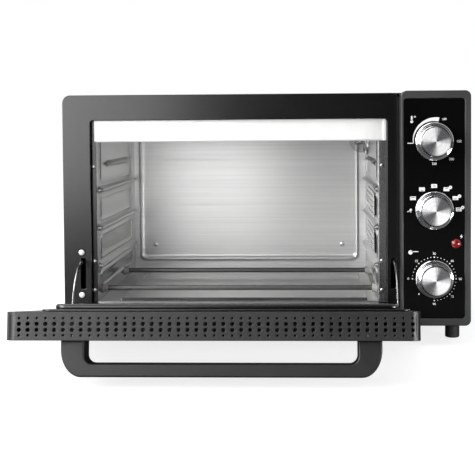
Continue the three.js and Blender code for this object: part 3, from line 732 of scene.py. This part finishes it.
def column():
    """The control column's border and bed, the glossy fascia in it, and the red lamp."""
    c, f = COLUMN, FASCIA
    border = plate("front", c.y0, c.y1, rounded(c.x0, c.x1, c.z0, c.z1, 6, 10),
                   rounded(f.x0 - 0.1, f.x1 + 0.1, f.z0 - 0.1, f.z1 + 0.1, 3), edge=1.0, steps=4)
    holes = [circle(k.x, k.z, 4) for k in KNOBS.values()]
    bed = plate("front", c.y0 + 1.4, c.y0 + 3, rounded(c.x0 + 1, c.x1 - 1, c.z0 + 1, c.z1 - 1, 5),
                *holes, edge=0.1)
    stand_in("control_housing", fused([border, bed]), "column_shell")
    lens = spot("power_indicator_lens")
    glossy = plate("front", FACE, FACE + 0.85, rounded(f.x0, f.x1, f.z0, f.z1, 2.9), *holes,
                   circle(lens.x, lens.z, 4.3), edge=0.15)
    stand_in("control_fascia", glossy, "fascia")
    dome = [(0, -3), (4, -3), (4, 0.1), (5, 0.1), (5, 1.2), (4.6, 2.2), (3.6, 3), (2, 3.5),
            (0, 3.7)]
    red = turned(dome, (lens.x, FACE - 0.1, lens.z), (0, -1, 0), 40)
    stand_in("power_indicator_lens", red, "red_lens", sharp=60)


def knob(use):
    """A stepped chrome knob with a spun cap, which has a notch for its pointer."""
    cap = KNOBS[use]
    body = spot(use + "_knob")
    r, tip = body.radius, FASCIA.y0 - body.y0
    profile = [(0, 1.2), (r - 0.5, 1.2), (r, 1.7), (r, 2.8), (r - 0.4, 3.8), (r - 1.3, 4.4),
               (r - 2.3, 4.4), (r - 2.9, 3.7), (r - 3.2, 3.6), (r - 3.6, 4.2), (r - 4.3, tip - 2),
               (r - 4.5, tip - 0.9), (r - 5.0, tip - 0.2), (cap.radius + 0.1, tip),
               (cap.radius - 0.6, tip - 0.4), (0, tip - 0.4)]
    at = (cap.x, FASCIA.y0, cap.z)
    stand_in(use + "_knob", turned(profile, at, (0, -1, 0), 96), "knob_chrome", sharp=40)
    r = cap.radius
    top = FASCIA.y0 - cap.y0
    rim = [(0, top - 1), (r - 0.3, top - 1), (r - 0.3, top - 0.35), (r - 0.7, top), (0, top)]
    disc = turned(rim, at, (0, -1, 0), 96)
    angle = math.radians(POINTER[use])
    u, v = cap.x + (r - 0.4) * math.cos(angle), cap.z + (r - 0.4) * math.sin(angle)
    notch = turned([(0, 0), (1.3, 0), (1.3, 4), (0, 4)], (u, FASCIA.y0 - top + 0.6, v),
                   (0, -1, 0), 20)
    face = carved(disc, notch)
    stand_in(use + "_knob_cap", face, "spun", center=(cap.x, cap.y, cap.z))


# ------------------------------------------------------------------ printed marks
def ink(*loops):
    """A flat printed shape on the fascia."""
    return plate("front", FACE - 0.1, FACE + 0.02, *loops, edge=0.01, steps=0)


def number(text, x, z, size=3.6):
    font = bpy.data.curves.new("number", "FONT")
    font.body = text
    font.size = size
    font.align_x = "CENTER"
    font.align_y = "CENTER"
    font.extrude = 0.05
    mesh = mesh_from(font)
    mesh.transform(Matrix.Translation((x, z, 0)))
    return laid(mesh, "front", FACE - 0.05)


def around(center, radius, degrees):
    """A point on a circle about a knob, counted from its right."""
    angle = math.radians(degrees)
    return center.x + radius * math.cos(angle), center.z + radius * math.sin(angle)


def bar(x, z, width, height, tilt=0.0):
    """The outline of a bar about its middle."""
    c, s = math.cos(math.radians(tilt)), math.sin(math.radians(tilt))
    corners = [(-width, -height), (width, -height), (width, height), (-width, height)]
    return [(x + (u * c - v * s) / 2, z + (u * s + v * c) / 2) for u, v in corners]


def temperature_marks():
    """A wedge that swells from off to hot, four temperatures, and a thermometer."""
    k = KNOBS["temperature"]
    steps = 40
    sweep = [185 - 107 * i / steps for i in range(steps + 1)]
    outer = [around(k, 21.2 + 3.4 * i / steps, a) for i, a in enumerate(sweep)]
    inner = [around(k, 20.7, a) for a in reversed(sweep)]
    marks = [ink(outer + inner)]
    for text, angle, radius in (("100", 66, 24.5), ("150", 0, 24.8),
                                ("200", -46, 25), ("250", -90, 22.6)):
        marks.append(number(text, *around(k, radius, angle), size=3.3))
    marks.append(ink(bar(*around(k, 24, 184), 5.6, 0.8)))
    x, z = k.x - 22.5, k.z + 22.5
    marks += [ink(bar(x, z + 0.6, 1.5, 5.2)), ink(circle(x, z - 2.4, 1.5, 16)),
              ink(circle(x + 3, z + 2.6, 1.0, 14), circle(x + 3, z + 2.6, 0.5, 12))]
    return marks


def oven_icon(x, z, elements, fan=False):
    """A small oven: a plate with a gap for each heating element, and a round fan at its corner."""
    gaps = [bar(x, z + level, 3.4, 0.55) for level in elements]
    loops = [ink(rounded(x - 2.9, x + 2.9, z - 1.9, z + 1.9, 0.4, 3), *gaps)]
    if fan:
        loops.append(ink(circle(x + 4.0, z + 1.9, 1.7, 16), circle(x + 4.0, z + 1.9, 0.5, 12)))
    return loops


def function_marks():
    """A lamp sign at the first stop, then six ovens with different elements and fan."""
    k = KNOBS["function"]
    marks = []
    x, z = around(k, 24.2, 180)
    marks += [ink(circle(x + 0.6, z + 0.5, 1.3, 16)), ink(bar(x - 1.6, z - 0.9, 2.6, 0.7, 25)),
              ink(bar(x + 0.6, z - 1.6, 1.4, 0.8))]
    rows = ((150, (0.8,), False), (120, (-0.8,), False), (90, (0.8, -0.8), False),
            (60, (0.8,), True), (30, (-0.8,), True), (2, (0.8, -0.8), True))
    for angle, elements, fan in rows:
        marks += oven_icon(*around(k, 24.6, angle), elements, fan)
    return marks


def timer_marks():
    """Dots every three minutes to 90, a number every fifteen, one dot the other way, and a sign."""
    k = KNOBS["timer"]
    marks = []
    for i in range(31):
        angle, major = 180 - 9 * i, i % 5 == 0
        marks.append(ink(circle(*around(k, 22, angle), 0.72 if major else 0.45, 14)))
    for i in range(7):
        radius = 26.2 if i in (0, 4) else 25.6
        marks.append(number(str(15 * i), *around(k, radius, 180 - 45 * i), size=3.4))
    marks.append(ink(circle(*around(k, 22, -135), 0.72, 14)))
    x, z = k.x - 24, k.z + 27
    marks += [ink(circle(x, z, 2.1, 24), circle(x + 0.7, z + 0.7, 0.6, 10)),
              ink(bar(x + 5.5, z + 0.8, 5.0, 0.7))]
    return marks


def lamp_mark():
    lens = spot("power_indicator_lens")
    x, z = lens.x + 5.4, lens.z + 7.2
    return [ink([(x + 0.6, z + 2.6), (x - 1.5, z - 0.4), (x - 0.2, z - 0.3), (x - 0.8, z - 2.6),
                 (x + 1.5, z + 0.5), (x + 0.2, z + 0.4)])]


def marks():
    for name, meshes in (("temperature_marks", temperature_marks()),
                         ("function_marks", function_marks()),
                         ("timer_marks", timer_marks()), ("power_mark", lamp_mark())):
        piece(name, fused(meshes), "print", slot="fascia")


# ------------------------------------------------------------------ door
DOOR = spot("door_frame")
CORNER = 6.0  # the bend where the top of the door turns down to its sides
SKIN = 1.5  # the vent strip and its gap
HINGE_Y = (HINGE.y - ORIGIN.y) / MM
HINGE_Z = HINGE.z / MM
STRIP = spot("door_vent_strip")
INNER_PANEL = spot("door_inner_panel")
PANES = {name: spot(name) for name in ("door_outer_glass", "door_inner_glass")}
HANDLE = spot("door_handle")
WINDOW = SimpleNamespace(x0=49, x1=311, z0=62, z1=200)
PLINTH = SimpleNamespace(x0=32.5, x1=334, z0=40, z1=228.5)  # the raised field on the inner panel
VENTS = {"columns": 45, "pitch": 7.59, "first": 8.6}
VENT_ROWS = ((5.5, 1.0), (10.3, 1.7), (15.4, 1.7), (20.0, 1.0))  # depth and radius of each row


def through(plane, low, high, loop):
    """A sharp-edged cutter."""
    return plate(plane, low, high, loop, edge=0.001, steps=0)


def door_frame():
    """The door's moulded frame, open for the window, the pane, the vents and the hinges."""
    d, w = DOOR, WINDOW
    bend, lower = CORNER, CORNER + 0.3
    outline = (arc(d.x1 - 6, d.z0 + 6, 6, -90, 0, 8)
               + [(d.x1, STRIP.z1 - lower), (d.x1 - SKIN, STRIP.z1 - lower)]
               + arc(d.x1 - bend, STRIP.z1 - bend, bend - SKIN, 0, 90, 8)
               + arc(d.x0 + bend, STRIP.z1 - bend, bend - SKIN, 90, 180, 8)
               + [(d.x0 + SKIN, STRIP.z1 - lower), (d.x0, STRIP.z1 - lower)]
               + arc(d.x0 + 6, d.z0 + 6, 6, 180, 270, 8))
    solid = plate("front", d.y0, d.y1, outline, edge=0.7, steps=3)
    pane = PANES["door_outer_glass"]
    cuts = [through("front", d.y0 - 5, d.y1 + 5, rounded(w.x0, w.x1, w.z0, w.z1, 8)),
            through("front", d.y0 - 5, pane.y1 + 0.2,
                    rounded(pane.x0 - 0.3, pane.x1 + 0.3, pane.z0 - 0.3, pane.z1 + 0.3, 12)),
            block(d.x0 + 3.5, d.x1 - 3.5, d.y0 + 2.5, d.y1 - 2.5, 208, d.z1 + 5, 0)]
    for side in ("left", "right"):
        bracket = spot("hinge_bracket_" + side)
        cuts.append(block(bracket.x0 - 0.6, bracket.x1 + 0.6, HINGE_Y - 6.5, d.y1 + 4, d.z0 - 5,
                          HINGE_Z + 6.5, 0))
    stand_in("door_frame", carved(solid, *cuts), "dark_plastic")


def vent_strip():
    """The perforated top of the door, bent down over its two corners."""
    s = STRIP
    holes = [circle(VENTS["first"] + VENTS["pitch"] * i, s.y1 - depth, radius, 12)
             for i in range(VENTS["columns"]) for depth, radius in VENT_ROWS]
    sheet = plate("plan", s.z1 - 1.2, s.z1, rounded(s.x0, s.x1, s.y0, s.y1, 0.8, 3), *holes,
                  edge=0.35, steps=2)
    work = bmesh.new()
    work.from_mesh(sheet)
    for degrees in range(15, 91, 15):
        inset = CORNER * (1 - math.cos(math.radians(degrees)))
        for x in (s.x0 + inset, s.x1 - inset):
            everything = work.verts[:] + work.edges[:] + work.faces[:]
            bmesh.ops.bisect_plane(work, geom=everything, plane_co=(x, 0, 0), plane_no=(1, 0, 0))
    for vertex in work.verts:
        into = CORNER - min(vertex.co.x - s.x0, s.x1 - vertex.co.x)
        if into > 0:
            vertex.co.z -= CORNER - math.sqrt(max(CORNER ** 2 - into ** 2, 0))
    work.to_mesh(sheet)
    work.free()
    stand_in("door_vent_strip", sheet, "dark_plastic")


def inner_panel():
    """The gloss inner panel in two steps, with the window through both."""
    p = INNER_PANEL
    window = rounded(WINDOW.x0 + 10, WINDOW.x1 - 10, WINDOW.z0 + 4, WINDOW.z1 - 4, 6)
    step = plate("front", p.y0, p.y0 + 1.7, rounded(p.x0, p.x1, p.z0, p.z1, 8), window, edge=0.6,
                 steps=3)
    field = rounded(PLINTH.x0, PLINTH.x1, PLINTH.z0, PLINTH.z1, 10, 12)
    plinth = plate("front", p.y0 + 1, p.y1, field, window, edge=2.2, steps=5)
    stand_in("door_inner_panel", fused([step, plinth]), "black_paint")


def stays():
    """Thin arms that guide the door, each with a foot screwed to the door's inner face."""
    def on_arc(radius, start, stop, steps=24):
        angles = [math.radians(start + (stop - start) * i / steps) for i in range(steps + 1)]
        return [(HINGE_Y + radius * math.sin(a), HINGE_Z + radius * math.cos(a)) for a in angles]

    face = DOOR.y1 + 0.3
    loop = [(face, HINGE_Z + 47), (face, HINGE_Z + 56)]
    loop += on_arc(55.3, 24, 93.5) + on_arc(51.6, 93.5, 21.5)
    for side, (x, left, right) in STAYS.items():
        blade = plate("side", x - 0.55, x + 0.55, loop, edge=0.3)
        pad = rounded(x - left, x + right, HINGE_Z + 44, HINGE_Z + 59, 1.4, 5)
        foot = plate("front", face, face + 1.3, pad, edge=0.4)
        stand_in("door_stay_" + side, fused([blade, foot]), "hardware")


def panes():
    for node, pane in PANES.items():
        radius = 11.5 if node == "door_outer_glass" else 7.5
        outline = rounded(pane.x0, pane.x1, pane.z0, pane.z1, radius)
        stand_in(node, plate("front", pane.y0, pane.y1, outline, edge=0.5), "glass")


def handle():
    """The U-shaped bail across the door."""
    h = HANDLE
    post, bar_depth = 20.5, 11.5
    base, tip = h.y1, h.y0
    wide, tall = 17.5, 24.0  # the outer bend, longer along the post than along the bar
    stretch = tall / wide
    outer_left = arc(h.x0 + wide, tip + tall, wide, 180, 270, 12, stretch)
    outer_right = arc(h.x1 - wide, tip + tall, wide, 270, 360, 12, stretch)
    inner_right = arc(h.x1 - post - 7, tip + bar_depth + 7, 7, 0, -90, 8)
    inner_left = arc(h.x0 + post + 7, tip + bar_depth + 7, 7, -90, -180, 8)
    loop = [(h.x0, base), *outer_left, *outer_right, (h.x1, base), (h.x1 - post, base),
            *inner_right, *inner_left, (h.x0 + post, base)]
    bail = plate("plan", h.z0, h.z1, loop, edge=1.6, steps=4)
    stand_in("door_handle", bail, "dark_plastic")


# ------------------------------------------------------------------ studio
def stage():
    """A floor that the camera sees as near white, and that looks dark to everything else."""
    bpy.ops.mesh.primitive_plane_add(size=12, location=(0, 0, -0.0005))
    floor = bpy.context.object
    floor.name = "studio_floor"
    material, tree, shader = new_material("studio_floor")
    tree.nodes.remove(shader)
    out = tree.nodes["Material Output"]
    pale, glow = tree.nodes.new("ShaderNodeBsdfDiffuse"), tree.nodes.new("ShaderNodeEmission")
    pale.inputs["Color"].default_value = (0.4, 0.4, 0.4, 1)
    glow.inputs["Strength"].default_value = 0.8
    both, pick = tree.nodes.new("ShaderNodeAddShader"), tree.nodes.new("ShaderNodeMixShader")
    dim = tree.nodes.new("ShaderNodeBsdfDiffuse")
    dim.inputs["Color"].default_value = (0.1, 0.1, 0.1, 1)
    path = tree.nodes.new("ShaderNodeLightPath")
    tree.links.new(pale.outputs[0], both.inputs[0])
    tree.links.new(glow.outputs[0], both.inputs[1])
    tree.links.new(path.outputs["Is Camera Ray"], pick.inputs["Fac"])
    tree.links.new(dim.outputs[0], pick.inputs[1])
    tree.links.new(both.outputs[0], pick.inputs[2])
    tree.links.new(pick.outputs[0], out.inputs["Surface"])
    floor.data.materials.append(material)


def soft_box(name, place, target, size, power):
    """A rectangular light, in metres and watts, that the camera doesn't see."""
    lamp_data = bpy.data.lights.new(name, "AREA")
    lamp_data.shape = "RECTANGLE"
    lamp_data.size, lamp_data.size_y = size
    lamp_data.energy = power
    box = bpy.data.objects.new(name, lamp_data)
    bpy.context.scene.collection.objects.link(box)
    box.location = place
    box.rotation_mode = "QUATERNION"
    box.rotation_quaternion = (Vector(target) - Vector(place)).to_track_quat("-Z", "Y")
    box.visible_camera = False


def in_row(x, y, z):
    """A layout point in the frame's own metres."""
    return TO_ROW @ Vector((x, y, z))


def studio():
    """The lights, and a world that is white to the camera and dark in front for reflections."""
    soft_box("front_box", (-0.97, -1.87, 0.53), (-0.1, 0, 0.2), (1.45, 1.2), 19.5)
    soft_box("near_box", (-0.58, -0.75, 0.2), (-0.05, -0.2, 0.05), (0.3, 0.3), 1.6)
    soft_box("left_box", (-1.9, -1.1, 0.9), (-0.1, 0, 0.15), (1.2, 1.2), 42)
    soft_box("top_box", (-0.9, -0.5, 1.9), (-0.05, 0, 0), (1.6, 1.6), 24)
    soft_box("low_box", (0.46, -0.36, 0.05), (0.2, -0.07, 0.02), (0.2, 0.06), 1.1)
    soft_box("cavity_glow", in_row(120, 12, 150), in_row(150, 280, 135), (0.16, 0.12), 0.072)
    world = bpy.data.worlds.new("studio")
    bpy.context.scene.world = world
    world.use_nodes = True
    tree = world.node_tree
    tree.nodes.clear()
    out = tree.nodes.new("ShaderNodeOutputWorld")
    seen, felt = tree.nodes.new("ShaderNodeBackground"), tree.nodes.new("ShaderNodeBackground")
    mix, path = tree.nodes.new("ShaderNodeMixShader"), tree.nodes.new("ShaderNodeLightPath")
    seen.inputs["Color"].default_value = (1, 1, 1, 1)
    seen.inputs["Strength"].default_value = 1.0
    place = tree.nodes.new("ShaderNodeTexCoord")
    parts = tree.nodes.new("ShaderNodeSeparateXYZ")
    tree.links.new(place.outputs["Generated"], parts.inputs["Vector"])
    level = tree.nodes.new("ShaderNodeMapRange")
    level.inputs["From Min"].default_value = -0.9
    level.inputs["From Max"].default_value = 0.2
    level.inputs["To Min"].default_value = 0.03
    level.inputs["To Max"].default_value = 0.85
    tree.links.new(parts.outputs["Y"], level.inputs["Value"])
    tree.links.new(level.outputs["Result"], felt.inputs["Color"])
    tree.links.new(path.outputs["Is Camera Ray"], mix.inputs["Fac"])
    tree.links.new(felt.outputs[0], mix.inputs[1])
    tree.links.new(seen.outputs[0], mix.inputs[2])
    tree.links.new(mix.outputs[0], out.inputs["Surface"])
    bpy.context.scene.view_settings.view_transform = "Standard"


EYE = {"at": (254.0, -1224.2, 226.2), "lens": 89.64, "shift": (-0.032, -0.1351)}
EYE_TURN = {"down": 2.4, "left": 2.6, "roll": -0.4}  # degrees


def camera():
    data = bpy.data.cameras.new("camera")
    data.lens = EYE["lens"]
    data.shift_x, data.shift_y = EYE["shift"]
    eye = bpy.data.objects.new("camera", data)
    bpy.context.scene.collection.objects.link(eye)
    eye.location = in_row(*EYE["at"])
    aim = Euler((math.radians(90 - EYE_TURN["down"]), 0, math.radians(EYE_TURN["left"])))
    roll = Matrix.Rotation(math.radians(EYE_TURN["roll"]), 3, "Z")
    eye.rotation_euler = (aim.to_matrix() @ roll).to_euler()
    bpy.context.scene.camera = eye


# ------------------------------------------------------------------ everything
front_frame()
screws_and_feet()
rear()
casing_screws()
side_walls()
fan_grille()
back_wall()
floor_and_ceiling()
apron()
heating_rods()
lamp()
column()
for use in KNOBS:
    knob(use)
marks()
door_frame()
vent_strip()
inner_panel()
stays()
panes()
handle()

CARRIED = {"outer_casing": "casing_paint", "base_plate": "galvanised"}
for node, thing in frame["nodes"].items():
    look = CARRIED.get(node, SLOT_OF[node])
    if look in LOOKS:
        thing.data.materials.clear()
        thing.data.materials.append(LOOKS[look])

stage()
studio()
camera()
